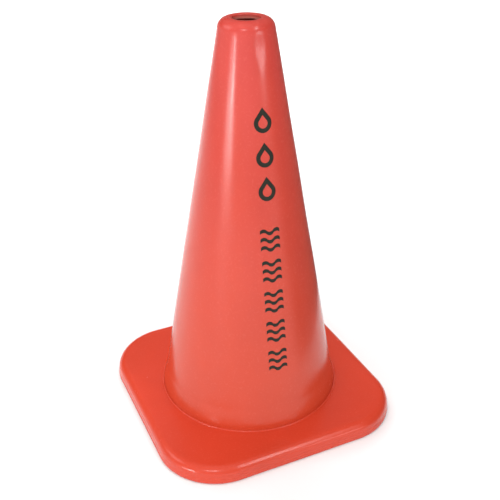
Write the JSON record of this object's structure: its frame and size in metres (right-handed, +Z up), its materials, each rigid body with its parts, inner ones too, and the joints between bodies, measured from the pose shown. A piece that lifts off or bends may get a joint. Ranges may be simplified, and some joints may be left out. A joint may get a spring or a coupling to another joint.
{
  "type": "wet floor sign",
  "caption": "Free-standing moulded safety cone on a square base with rounded corners, open at the top, with a column of dark water marks down one side.",
  "frame": {"origin": "on the cone's axis at floor level, at the bottom of the feet", "axes": "+Z up along the cone's axis; the base's sides lie along X and Y; the column of marks faces -Y"},
  "size_m": [0.288, 0.288, 0.457],
  "materials": {
    "cone_pvc": "glossy moulded soft PVC, orange-red",
    "base_pvc": "glossy moulded soft PVC, deeper red",
    "mark_film": "satin dark olive-black film"
  },
  "bodies": {
    "root": {"cone_body": "cone_pvc", "base": "base_pvc", "drop_mark_1": "mark_film", "drop_mark_2": "mark_film", "drop_mark_3": "mark_film", "wave_mark_1": "mark_film", "wave_mark_2": "mark_film", "wave_mark_3": "mark_film", "wave_mark_4": "mark_film", "wave_mark_5": "mark_film"}
  },
  "joints": []
}
